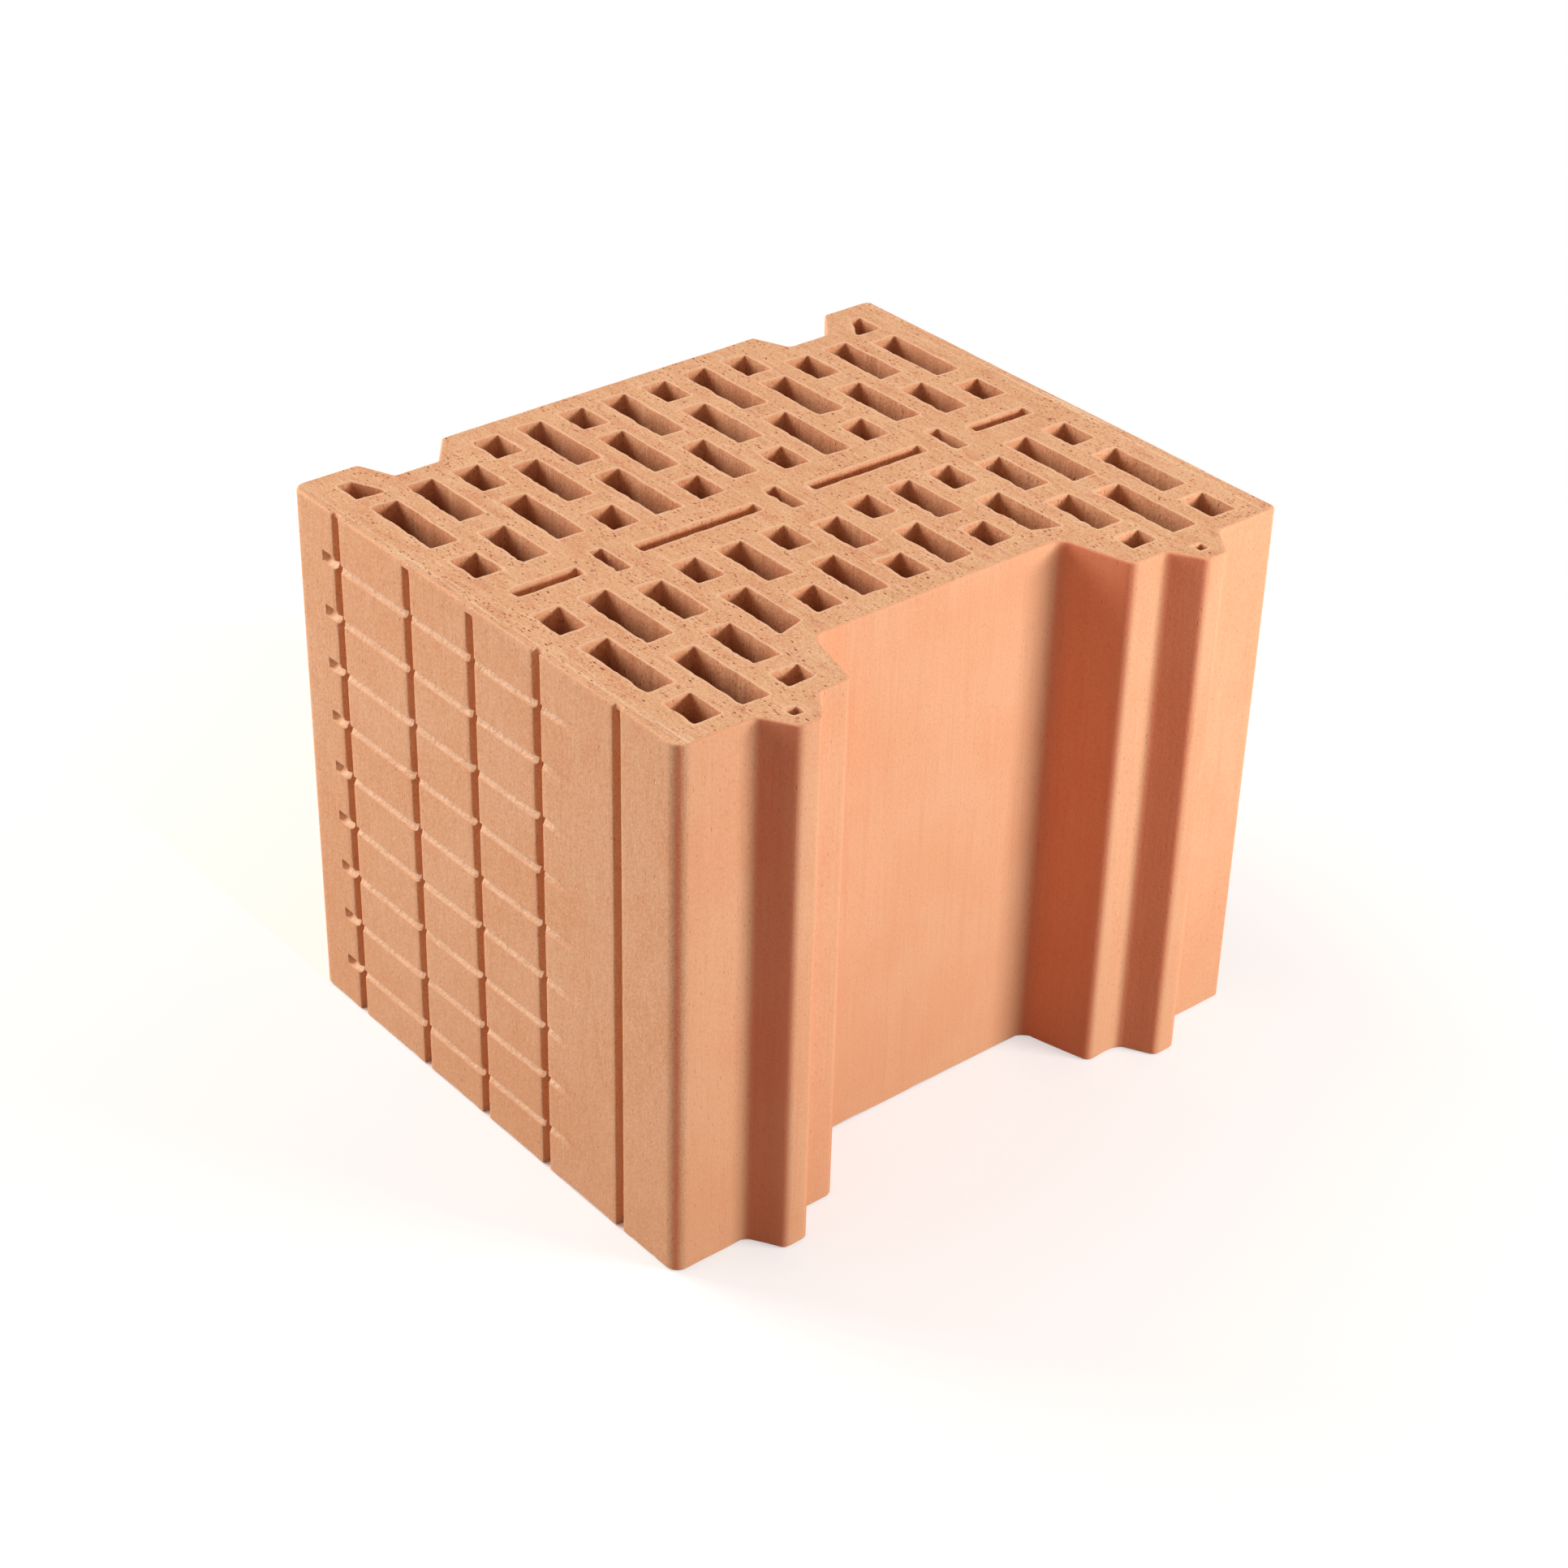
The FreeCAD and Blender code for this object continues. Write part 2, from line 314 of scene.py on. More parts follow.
def into_clay(loop):
    """For each point of an outline, the direction that leads into the clay."""
    along = np.roll(loop, -1, axis=0) - np.roll(loop, 1, axis=0)
    normal = np.stack([-along[:, 1], along[:, 0]], axis=1)
    return normal / np.hypot(normal[:, 0], normal[:, 1])[:, None]


def room_to_round(loop):
    """For each point of an outline, the widest round that the corners near it leave room for, in mm."""
    back = loop - np.roll(loop, 1, axis=0)
    ahead = np.roll(loop, -1, axis=0) - loop
    turn = np.arctan2(back[:, 0] * ahead[:, 1] - back[:, 1] * ahead[:, 0], (back * ahead).sum(1))
    length = (np.hypot(*back.T) + np.hypot(*ahead.T)) / 2
    corner = ROOM_SHARE * length / np.maximum(turn, STRAIGHT_TURN)
    room = np.where(turn > STRAIGHT_TURN, corner, ROOM_PLENTY)
    return np.min([np.roll(room, k) for k in range(-ROOM_POINTS, ROOM_POINTS + 1)], axis=0)


class Shell:
    """Collects the points and faces of the one body."""

    def __init__(self):
        self.points = []
        self.faces = []
        self.finish = []
        self.flank = []
        self.pale = []

    def add(self, x, y, z, flank=0.0, pale=0.0):
        """Adds a point in mm with its marks for the materials, a painted flank shade and a painted
        highlight, and gives back its number.
        """
        self.points.append((x, y, z))
        self.flank.append(flank)
        self.pale.append(pale)
        return len(self.points) - 1

    def wall(self, rings, finish):
        """Joins rings of points, the highest first, with the clay on the left of each."""
        for upper, lower in zip(rings, rings[1:]):
            for a, b, c, d in zip(upper, np.roll(upper, -1), np.roll(lower, -1), lower):
                self.faces.append((int(a), int(d), int(c), int(b)))
                self.finish.append(finish)


def mouth_round(x, y, inward, seed):
    """How far the edge of a cell is rolled over or torn back at its mouth, in mm."""
    tear = bite(x, y, seed, MOUTH_TEAR_SIZE, MOUTH_TEAR_BIAS)
    nick = bite(x, y, seed + NICK_SEED, MOUTH_NICK_SIZE, MOUTH_NICK_BIAS)
    uneven = 1 + MOUTH_ROLL_VARIES * wave(x, y, seed + ROLL_SEED, MOUTH_ROLL_SIZE)
    rolled = MOUTH_ROLL * max(0.0, -inward[0]) ** 2 * uneven
    drag = bite(x, y, seed + DRAG_SEED, MOUTH_DRAG_SIZE, MOUTH_DRAG_BIAS)
    dragged = MOUTH_DRAG * max(0.0, -inward[1]) * drag
    return MOUTH_ROUND + MOUTH_TEAR * (tear * MOUTH_TEAR_SHARE + nick) + rolled + dragged


def rim_round(x, y, seed):
    """How far the outer edge of a bed is worn back, in mm."""
    tear = bite(x, y, seed, RIM_TEAR_SIZE, 0.0)
    nick = bite(x, y, seed + NICK_SEED, RIM_NICK_SIZE, RIM_NICK_BIAS)
    return RIM_ROUND + RIM_TEAR * (tear * RIM_TEAR_SHARE + nick)


def arc_rings(shell, loop, inward, bed, down, rounds, flank, parts, pale):
    """The rings that turn a bed into a wall round an uneven edge. The first lies in the bed."""
    rings = []
    for k in range(parts + 1):
        angle = math.pi / 2 * k / parts
        ring = []
        for i, spot in enumerate(loop):
            inset = rounds[i] * (1 - math.sin(angle))
            drop = rounds[i] * (1 - math.cos(angle))
            x, y = spot + inward[i] * inset
            # Each point carries its share of painted flank shade, growing down the arc, and of painted
            # highlight, fading down the arc.
            ring.append(shell.add(x, y, bed - down * drop, flank[i] * k / parts, pale * (1 - k / parts)))
        rings.append(ring)
    return rings


def build_cell(shell, loop, number):
    """One perforation: its uneven wall from bed to bed.

    Gives back its two mouth rings and the way into the clay at each of their points.
    """
    centre = (loop.max(0) + loop.min(0)) / 2
    half = (loop.max(0) - loop.min(0))[1] / 2
    seed = SEED + number * CELL_SEED_STEP
    loop = divide(soften(loop, CELL_CORNER), lambda spot: CELL_STEP)
    inward = into_clay(loop)
    shift = np.array([CELL_SHIFT * wave(number, line, SEED, SHIFT_SPACING) for line in SHIFT_LINES])
    lean = CELL_LEAN * (LEAN_MEAN + LEAN_VARIES * wave(number, LEAN_LINE, SEED, LEAN_SPACING))

    def section(depth):
        """The outline at a depth below the upper bed."""
        made = []
        for spot, into in zip(loop, inward):
            broad, fine = (wave(spot[0], spot[1], seed, size) for size in CELL_WAVE_SIZES)
            drift = wave(spot[0], depth, seed, CELL_DRIFT_SIZE)
            uneven = CELL_WAVE * (broad + CELL_FINE_SHARE * fine + CELL_DRIFT_SHARE * drift)
            slant = lean / 2 * (spot[1] - centre[1]) / half
            made.append(spot + into * uneven + shift + (slant, 0))
        return np.array(made)

    none = np.zeros(len(loop))
    upper, lower = section(0.0), section(TOP)
    top_rounds = [mouth_round(x, y, into, seed) for (x, y), into in zip(upper, inward)]
    low_rounds = [mouth_round(x, y, -into, seed + LOW_MOUTH_SEED) for (x, y), into in zip(lower, inward)]
    rings = arc_rings(shell, upper, inward, TOP, 1, top_rounds, none, TOP_ARC, MOUTH_HIGHLIGHT)
    for depth in CELL_DROPS_TOP + tuple(TOP - drop for drop in CELL_DROPS_BOTTOM):
        rings.append([shell.add(x, y, TOP - depth) for x, y in section(depth)])
    low = arc_rings(shell, lower, inward, 0, -1, low_rounds, none, LOW_ARC, MOUTH_HIGHLIGHT)
    shell.wall(rings + low[::-1], CELL)
    return rings[0], low[0], inward


def nearest_score(z):
    """The number of the score nearest to a height, from the lowest up, and the height above its foot."""
    number = round((z - SCORE_FIRST - SCORE_RISE / 2) / SCORE_PITCH)
    return number, z - SCORE_FIRST - number * SCORE_PITCH


def score_depth(x, z):
    """How deep the front face is pressed in at one place, in mm."""
    number, rise = nearest_score(z)
    if not 0 <= number < SCORE_COUNT or not 0 < rise < NOTCH_RISE:
        return 0.0
    pressed = SCORE_DEPTH * np.interp(rise, *zip(*SCORE_PROFILE))
    broad = wave(x, number * TEAR_BROAD_APART, SEED, TEAR_BROAD_SIZE)
    fine = wave(x, rise * TEAR_FINE_UPRIGHT + number * TEAR_FINE_APART, SEED, TEAR_FINE_SIZE)
    torn = 1 + TEAR_BROAD * broad + TEAR_FINE * fine
    notch = NOTCH_DEPTH * np.interp(rise, *zip(*NOTCH_PROFILE))
    notch *= np.clip(1 - (x - SCORE_START) / NOTCH_LENGTH, 0, 1)
    start = smooth_step(*SCORE_START_RUN, x - SCORE_START)
    ragged = x + SCORE_FADE_WAVE * wave(x, number * FADE_APART, SEED + FADE_SEED, SCORE_FADE_SIZE)
    fade = 1 - smooth_step(SCORE_FULL_END, SCORE_FADE_END, ragged)
    return start * fade * (pressed * torn + notch)


def key_grooves(loop):
    """For each point of the outer outline, the number of the key groove that it belongs to, or -1."""
    x, y = loop.T
    flat = x[y < FRONT + NEAR]
    between = (x > flat.min()) & (x < flat.max())
    cut = np.sort(x[(y > FRONT + GROOVE_SURE) & (y < FRONT + GROOVE_REACH) & between])
    parts = np.split(cut, np.where(np.diff(cut) > GROOVE_APART)[0] + 1)
    groove = np.full(len(loop), -1)
    for number, part in enumerate(parts):
        middle = (part.min() + part.max()) / 2
        near = (y > FRONT + GROOVE_LIP) & (y < FRONT + GROOVE_REACH) & (np.abs(x - middle) < GROOVE_REACH)
        groove[near] = number
    return groove


def wall_levels():
    """The heights of the rings of the outer wall: those of the scores and heads, and even steps between."""
    levels = [FOOT_LEVEL] + [TOP - drop for drop in HEAD_DROPS]
    for number in range(SCORE_COUNT):
        levels.extend(SCORE_FIRST + number * SCORE_PITCH + rise for rise, _ in SCORE_PROFILE)
    levels.sort()
    filled = levels[-1:]
    for here, there in zip(levels, levels[1:]):
        parts = max(1, math.ceil((there - here) / FACE_GAP))
        filled.extend(here + (there - here) * k / parts for k in range(parts))
    return sorted(filled, reverse=True)


def build_outside(shell, loop):
    """The outer wall with its scores.

    Gives back its two rim rings and the way into the clay at each of their points.
    """

    def step(spot):
        """How far apart the points of the outline may be at one place."""
        if spot[1] > FRONT + GROOVE_REACH:
            return SIDE_STEP
        return NOTCH_STEP if -NOTCH_LEAD < spot[0] - SCORE_START < NOTCH_LENGTH else FRONT_STEP

    loop = divide(soften(loop, EDGE_CORNER), step)
    inward = into_clay(loop)
    groove = key_grooves(loop)
    count = len(loop)
    on_front = (loop[:, 1] < FRONT + FACE_DEPTH) & (np.abs(loop[:, 0]) < END - FACE_INSET)
    on_broad_face = np.abs(loop[:, 1]) > BACK - GROOVE_REACH

    def open_part(i, z):
        """How far a key groove is open at a height, from 0 to 1."""
        closed = HEAD_CLOSED[groove[i]]
        return smooth_step(closed, closed + HEAD_ROUND, TOP - z)

    def flank(i):
        """How far one point gets painted shade, as a flank or upright edge near the tongue end that faces
        away from the lamps.
        """
        across, along = np.abs(inward[i])
        if groove[i] >= 0 or loop[i][0] < 0:
            return 0.0
        if on_broad_face[i]:
            return float(smooth_step(*BROAD_FACE_SHADE, min(across, along)))
        return float(smooth_step(*END_FLANK_SHADE, along))

    def score_lip(i, z):
        """How far a score has pushed clay into a key groove from its near bank, in mm."""
        number, rise = nearest_score(z)
        if inward[i][0] > LIP_BANK or not 0 <= number < SCORE_COUNT:
            return 0.0
        fade = 1 - smooth_step(SCORE_FULL_END, SCORE_FADE_END, loop[i][0])
        return LIP * fade * np.interp(rise, *zip(*LIP_PROFILE))

    def face(i, z):
        """The place of one point of the wall, drawn inwards only."""
        x, y = loop[i]
        back = WALL_WAVE * (1 + wave(x, y, z * WALL_WAVE_UPRIGHT, WALL_WAVE_SIZE)) / 2
        if groove[i] >= 0:
            depth = max((y - FRONT) * open_part(i, z), score_depth(x, z))
            return np.array([x + score_lip(i, z), FRONT + depth + back])
        if on_front[i]:
            back += score_depth(x, z)
        return loop[i] + inward[i] * back

    def rim(bed, down, seed, parts):
        """The rings round one outer edge."""
        places = np.array([face(i, bed - down * HEAD_DROPS[0]) for i in range(count)])
        rounds = [min(rim_round(x, y, seed), most) for (x, y), most in zip(loop, room_to_round(loop))]
        flanks = [flank(i) for i in range(count)]
        return arc_rings(shell, places, inward, bed, down, rounds, flanks, parts, RIM_HIGHLIGHT)

    def wall_point(i, z):
        """Adds one point of the wall. A score is a little wavy, and gets a painted highlight where the clay
        was pressed in.
        """
        x, y = face(i, z)
        if not on_front[i]:
            return shell.add(x, y, z, flank(i))
        lift = SCORE_WAVE * wave(x, z, SEED, SCORE_WAVE_SIZE) if z < TOP - LEVEL_NEAR_BED else 0.0
        pressed = (y - loop[i][1] - WALL_WAVE) / SCORE_HIGHLIGHT_DEPTH
        pressed *= smooth_step(*SCORE_HIGHLIGHT_RUN, x - SCORE_START)
        return shell.add(x, y, z + lift, flank(i), float(np.clip(pressed, 0, 1)))

    rings = rim(TOP, 1, SEED, TOP_ARC)
    rings += [[wall_point(i, z) for i in range(count)] for z in wall_levels()]
    low = rim(0, -1, SEED + LOW_RIM_SEED, LOW_ARC)
    shell.wall(rings + low[::-1], SKIN)
    for k, corners in enumerate(shell.faces):
        if all(BACK - abs(shell.points[c][1]) < GROOVE_REACH for c in corners):
            shell.finish[k] = FACE
    return rings[0], low[0], inward


def inside(loop, x, y):
    """Whether a place lies within a closed outline."""
    after = np.roll(loop, -1, axis=0)
    spans = (loop[:, 1] > y) != (after[:, 1] > y)
    rise = np.where(spans, after[:, 1] - loop[:, 1], 1.0)
    cross = loop[:, 0] + (y - loop[:, 1]) / rise * (after[:, 0] - loop[:, 0])
    return bool((spans & (cross > x)).sum() % 2)


def build_bed(shell, mouths, height, facing):
    """One cut bed: a flat web of triangles between all the mouths, with a low burr beside each."""
    spots = []
    owners = []
    edges = []
    mouth_of = {}
    outlines = [np.array([shell.points[index][:2] for index in ring]) for ring, _ in mouths]
    for number, (ring, inward) in enumerate(mouths):
        mouth_of.update((index, number) for index in ring)
        first = len(spots)
        count = len(ring)
        for index in ring:
            spots.append(Vector(shell.points[index][:2]))
            owners.append(index)
        edges.extend((first + k, first + (k + 1) % count) for k in range(count))
        for k, index in enumerate(ring):
            x, y, _ = shell.points[index]
            band = BURR_BAND * (1 + BURR_VARIES * wave(x, y, SEED, BURR_SIZE))
            x, y = x + inward[k][0] * band, y + inward[k][1] * band
            spots.append(Vector((x, y)))
            owners.append(shell.add(x, y, height - facing * BURR))
    web = delaunay_2d_cdt(spots, edges, [], INSIDE_WITH_HOLES, SAME_SPOT)
    places, _, triangles, origin, _, _ = web
    # A point that the web made itself, where two lines cross, becomes a point of the body.
    for k, source in enumerate(origin):
        if not source:
            origin[k] = [len(owners)]
            owners.append(shell.add(*places[k], height))
    for triangle in triangles:
        corners = [owners[origin[k][0]] for k in triangle]
        a, b, c = (Vector(shell.points[k][:2]) for k in corners)
        # A triangle that closes a cell, with all its corners on that cell's mouth, is left out.
        mouth = {mouth_of.get(k, 0) for k in corners}
        if len(mouth) == 1 and mouth != {0} and inside(outlines[mouth.pop()], *((a + b + c) / 3)):
            continue
        if ((b - a).cross(c - a) > 0) != (facing > 0):
            corners.reverse()
        shell.faces.append(tuple(corners))
        shell.finish.append(BED)


def srgb(code):
    """A colour written as an sRGB hex code, as the linear values that the shader wants."""
    values = [int(code[k:k + 2], 16) / 255 for k in (1, 3, 5)]
    return tuple(v / 12.92 if v <= 0.04045 else ((v + 0.055) / 1.055) ** 2.4 for v in values) + (1.0,)


def add(tree, kind, settings=None, inputs=None, output=None):
    """Adds one node, sets its properties and inputs, and gives back the output asked for, or the node."""
    made = tree.nodes.new(kind)
    for key, value in (settings or {}).items():
        setattr(made, key, value)
    for key, value in (inputs or {}).items():
        if isinstance(value, bpy.types.NodeSocket):
            tree.links.new(value, made.inputs[key])
        else:
            made.inputs[key].default_value = value
    return made if output is None else made.outputs[output]


# Settings and sockets of the nodes that are used most
COLOUR = {"data_type": "RGBA"}
TINT = {"data_type": "RGBA", "blend_type": "MULTIPLY"}
SHARE, UNDER, OVER, LAID = 0, 6, 7, 2
EASED = {"interpolation_type": "SMOOTHSTEP"}
TIMES = {"operation": "MULTIPLY"}
TIMES_PLUS = {"operation": "MULTIPLY_ADD"}
LARGER = {"operation": "MAXIMUM"}

# What shows in the clay, by size in mm. The real grit is about 0.3 mm across; it is drawn three times as
# coarse so that it shows. Edge lines lie in a band along the broad faces, and pebbles lie on the flanks
# behind a place along Y. Smears are stretched less far than drawn lines.
PATCH_SIZE = 42.0
CROWD_SIZE = 26.0
SMEAR_SIZE = 5.0
SMEAR_STRETCH_SHARE = 1 / 3
PEBBLE_SIZE = 2.4
CRUMB_SIZE = 2.2
GRIT_SIZE = 0.9
EDGE_LINE_SIZE = 1.5
EDGE_LINE_STRETCH = (30, 1, 1)
EDGE_LINE_BAND = (16.0, 5.0)
PEBBLE_FROM = (83.0, 86.0)

# Iron specks and open pores: the size of the cell that holds one, the share that is kept and the radius.
# They are drawn out along the way in which the clay was drawn, a dot is full within its core, and specks
# thin out between crowds.
SPECKS = (1.7, 0.65, 0.58)
PITS = (3.4, 0.4, 0.6)
SPECK_LONG = 1.9
SPECK_SHORT = 0.75
SPECK_CORE = 0.4
PICK_EDGE = 0.02
CROWD_BAND = (0.4, 0.6)
CROWD_LEAST = 0.5

# Fine detail of a noise, how high each pattern stands in the bump, and how the surface takes light
NOISE_DETAIL = 3.0
NOISE_MORE_DETAIL = 4.0
NOISE_ROUGHNESS = 0.55
DRAWN_HEIGHT = 0.8
PIT_HEIGHT = -1.2
BUMP_STRENGTH = 0.7
ROUGH_LEAST = 0.8
ROUGH_VARIES = 0.15
CLAY_IOR = 1.5
CLAY_SPECULAR = 0.2


def fresh_tree(name):
    """A new material and its empty node tree."""
    material = bpy.data.materials.new(name)
    material.use_nodes = True
    material.node_tree.nodes.clear()
    return material, material.node_tree


def shown_rays(tree):
    """1 for the rays that show the white background: from the camera, off a gloss or through glass."""
    rays = add(tree, "ShaderNodeLightPath")
    shown = rays.outputs["Is Camera Ray"]
    for kind in ("Is Glossy Ray", "Is Transmission Ray"):
        shown = add(tree, "ShaderNodeMath", LARGER, {0: shown, 1: rays.outputs[kind]}, 0)
    return shown


def pattern_scale(size, stretch):
    """How often a stretched pattern of the given size in mm repeats in a metre along each axis."""
    return [1 / (size * MM * s) for s in stretch]


def patches(tree, spots, size, stretch=(1, 1, 1), detail=NOISE_DETAIL):
    """Soft patches of about the given size in mm."""
    placed = add(tree, "ShaderNodeMapping", None,
                 {"Vector": spots, "Scale": pattern_scale(size, stretch)}, "Vector")
    return add(tree, "ShaderNodeTexNoise", None,
               {"Vector": placed, "Scale": 1.0, "Detail": detail, "Roughness": NOISE_ROUGHNESS}, "Fac")


def specks(tree, spots, stretch, size, kept, radius):
    """Scattered dots: one in each cell of the given size in mm, of which a share is kept."""
    placed = add(tree, "ShaderNodeMapping", None,
                 {"Vector": spots, "Scale": pattern_scale(size, stretch)}, "Vector")
    dots = add(tree, "ShaderNodeTexVoronoi", {"feature": "F1"}, {"Vector": placed, "Scale": 1.0})
    chance = add(tree, "ShaderNodeSeparateColor", None, {0: dots.outputs["Color"]}, "Red")
    edge = radius / size
    dot = add(tree, "ShaderNodeMapRange", EASED,
              {"Value": dots.outputs["Distance"], "From Min": edge, "From Max": edge * SPECK_CORE}, "Result")
    picked = add(tree, "ShaderNodeMapRange", None,
                 {"Value": chance, "From Min": 1 - kept, "From Max": 1 - kept + PICK_EDGE}, "Result")
    return add(tree, "ShaderNodeMath", TIMES, {0: picked, 1: dot}, 0)


def clay(name, colours, drawn_size, drawn_stretch, lined, grainy, speckled, relief,
         smeared=0.4, edge_lined=0.0, pebbled=0.0, crumbly=0.0, highlighted=0.5, deepened=(TOP / 2, 0, 0.3)):
    """Fired clay: a matt sandy body with soft patches, drawn lines, iron specks and open pores.

    It turns to the low colour between two heights in mm, by a share: those three values are deepened. In a
    cell this is painted shade down into the hole. The pale mark adds a painted highlight, and the flank mark
    a darker, redder painted shade.
    """
    material, tree = fresh_tree(name)
    spots = add(tree, "ShaderNodeTexCoord", output="Object")
    axes = add(tree, "ShaderNodeSeparateXYZ", None, {0: spots})
    flank = add(tree, "ShaderNodeAttribute", {"attribute_name": "flank"}, output="Fac")
    pale = add(tree, "ShaderNodeAttribute", {"attribute_name": "pale"}, output="Fac")

    patch = patches(tree, spots, PATCH_SIZE, detail=NOISE_MORE_DETAIL)
    smear_stretch = [max(1, s * SMEAR_STRETCH_SHARE) for s in drawn_stretch]
    smear = patches(tree, spots, SMEAR_SIZE, smear_stretch, NOISE_MORE_DETAIL)
    drawn = patches(tree, spots, drawn_size, drawn_stretch, NOISE_MORE_DETAIL)
    grain = patches(tree, spots, GRIT_SIZE)
    speck_stretch = [SPECK_LONG if s == max(drawn_stretch) else SPECK_SHORT for s in drawn_stretch]
    sparse, crowded = CROWD_BAND
    crowd = add(tree, "ShaderNodeMapRange", EASED,
                {"Value": patches(tree, spots, CROWD_SIZE), "From Min": sparse, "From Max": crowded,
                 "To Min": CROWD_LEAST}, "Result")
    fine = add(tree, "ShaderNodeMath", TIMES, {0: specks(tree, spots, speck_stretch, *SPECKS), 1: crowd}, 0)
    pits = specks(tree, spots, speck_stretch, *PITS)
    off_middle = add(tree, "ShaderNodeMath", {"operation": "ABSOLUTE"}, {0: axes.outputs["Y"]}, 0)
    edge_from, edge_to = ((BACK - inset) * MM for inset in EDGE_LINE_BAND)
    edge = add(tree, "ShaderNodeMapRange", EASED,
               {"Value": off_middle, "From Min": edge_from, "From Max": edge_to}, "Result")
    edge_line = add(tree, "ShaderNodeMath", TIMES,
                    {0: patches(tree, spots, EDGE_LINE_SIZE, EDGE_LINE_STRETCH), 1: edge}, 0)
    deep_from, deep_to, deep_share = deepened

    # Each layer: a pattern, its value where the layer is bare and where full, how full, and its colour.
    layers = (
        (patch, 0.38, 0.64, 1.0, "patch"),
        (smear, 0.48, 0.72, smeared, "blush"),
        (drawn, 0.52, 0.75, lined, "pale"),
        (drawn, 0.48, 0.25, lined, "dark"),
        (edge_line, 0.5, 0.66, edge_lined, "pale"),
        (grain, 0.5, 0.72, grainy, "pale"),
        (grain, 0.5, 0.28, grainy, "dark"),
        (fine, 0.0, 1.0, speckled, "speck"),
        (pits, 0.0, 1.0, speckled, "pit"),
        # Darker towards the bottom; in a cell, painted shade that deepens down into the hole
        (axes.outputs["Z"], deep_from * MM, deep_to * MM, deep_share, "low"),
        # Painted highlight on rounded mouths, rims and pressed score slopes
        (pale, 0.0, 1.0, highlighted, "pale"),
    )
    colour = srgb(colours["base"])
    for value, bare, full, amount, shade in layers:
        share = add(tree, "ShaderNodeMapRange", EASED,
                    {"Value": value, "From Min": bare, "From Max": full, "To Max": amount}, "Result")
        colour = add(tree, "ShaderNodeMix", COLOUR,
                     {SHARE: share, UNDER: colour, OVER: srgb(colours[shade])}, LAID)
    # Painted shade: flanks and upright edges near the tongue end, which face away from the lamps, are tinted
    # darker and redder.
    if "flank" in colours:
        colour = add(tree, "ShaderNodeMix", TINT,
                     {SHARE: flank, UNDER: colour, OVER: srgb(colours["flank"])}, LAID)

    height = add(tree, "ShaderNodeMath", TIMES_PLUS, {0: drawn, 1: DRAWN_HEIGHT, 2: grain}, 0)
    height = add(tree, "ShaderNodeMath", TIMES_PLUS, {0: pits, 1: PIT_HEIGHT, 2: height}, 0)
    if pebbled:
        rough_from, rough_to = (place * MM for place in PEBBLE_FROM)
        behind = add(tree, "ShaderNodeMapRange", EASED,
                     {"Value": axes.outputs["Y"], "From Min": rough_from, "From Max": rough_to}, "Result")
        rough_flank = add(tree, "ShaderNodeMath", TIMES, {0: behind, 1: flank}, 0)
        pebble = patches(tree, spots, PEBBLE_SIZE)
        pebble = add(tree, "ShaderNodeMath", TIMES, {0: pebble, 1: rough_flank}, 0)
        height = add(tree, "ShaderNodeMath", TIMES_PLUS, {0: pebble, 1: pebbled, 2: height}, 0)
    if crumbly:
        crumbs = add(tree, "ShaderNodeMath", TIMES, {0: patches(tree, spots, CRUMB_SIZE), 1: pale}, 0)
        height = add(tree, "ShaderNodeMath", TIMES_PLUS, {0: crumbs, 1: crumbly, 2: height}, 0)
    bump = add(tree, "ShaderNodeBump", None,
               {"Height": height, "Distance": relief * MM, "Strength": BUMP_STRENGTH}, "Normal")
    rough = add(tree, "ShaderNodeMath", TIMES_PLUS, {0: grain, 1: ROUGH_VARIES, 2: ROUGH_LEAST}, 0)
    shader = add(tree, "ShaderNodeBsdfPrincipled", None,
                 {"Base Color": colour, "Roughness": rough, "IOR": CLAY_IOR,
                  "Specular IOR Level": CLAY_SPECULAR, "Normal": bump}, "BSDF")
    add(tree, "ShaderNodeOutputMaterial", None, {"Surface": shader})
    return material


def wire_cut():
    """Wire-cut bed: the wire drags grit over wet clay, so it looks dull, speckled and finely lined."""
    return clay("fired_clay_wire_cut", {
        "base": "#DCAC82", "patch": "#D8A57B", "blush": "#CB8661", "pale": "#EBCBA8", "dark": "#BB7F5A",
        "speck": "#A04E33", "pit": "#803A27", "low": "#DFAA7F"},
        drawn_size=1.5, drawn_stretch=(9, 1, 1), lined=0.5, grainy=0.6, speckled=1.0, relief=0.4,
        smeared=0.55, edge_lined=0.7)


def die_skin():
    """Die skin: the die smooths the clay, so it looks even and warm with faint upright draw lines."""
    # The flank colour is a painted shade tint for flanks and edges that face away from the lamps.
    return clay("fired_clay_die_skin", {
        "base": "#E2AA83", "patch": "#E1A37B", "blush": "#DC9C76", "pale": "#E8B792", "dark": "#D2956D",
        "speck": "#C07F5B", "pit": "#B06B4A", "flank": "#FFDCD8", "low": "#D79A70"},
        drawn_size=1.1, drawn_stretch=(1, 1, 40), lined=0.25, grainy=0.4, speckled=0.25, relief=0.12,
        pebbled=1.8)


def cell_wall():
    """Cell wall: unsmoothed, with painted shade: a darker, redder colour that turns deep red-brown from a
    few mm down into the cell.
    """
    return clay("fired_clay_cell_wall", {
        "base": "#D69C73", "patch": "#CE8E65", "blush": "#C5805A", "pale": "#E9C09A", "dark": "#B8744E",
        "speck": "#8A4730", "pit": "#5E2A1B", "low": "#783B24"},
        drawn_size=1.2, drawn_stretch=(1, 1, 30), lined=0.4, grainy=0.5, speckled=0.5, relief=0.25,
        highlighted=0.85, deepened=(TOP - 3, TOP - 25, 0.9))


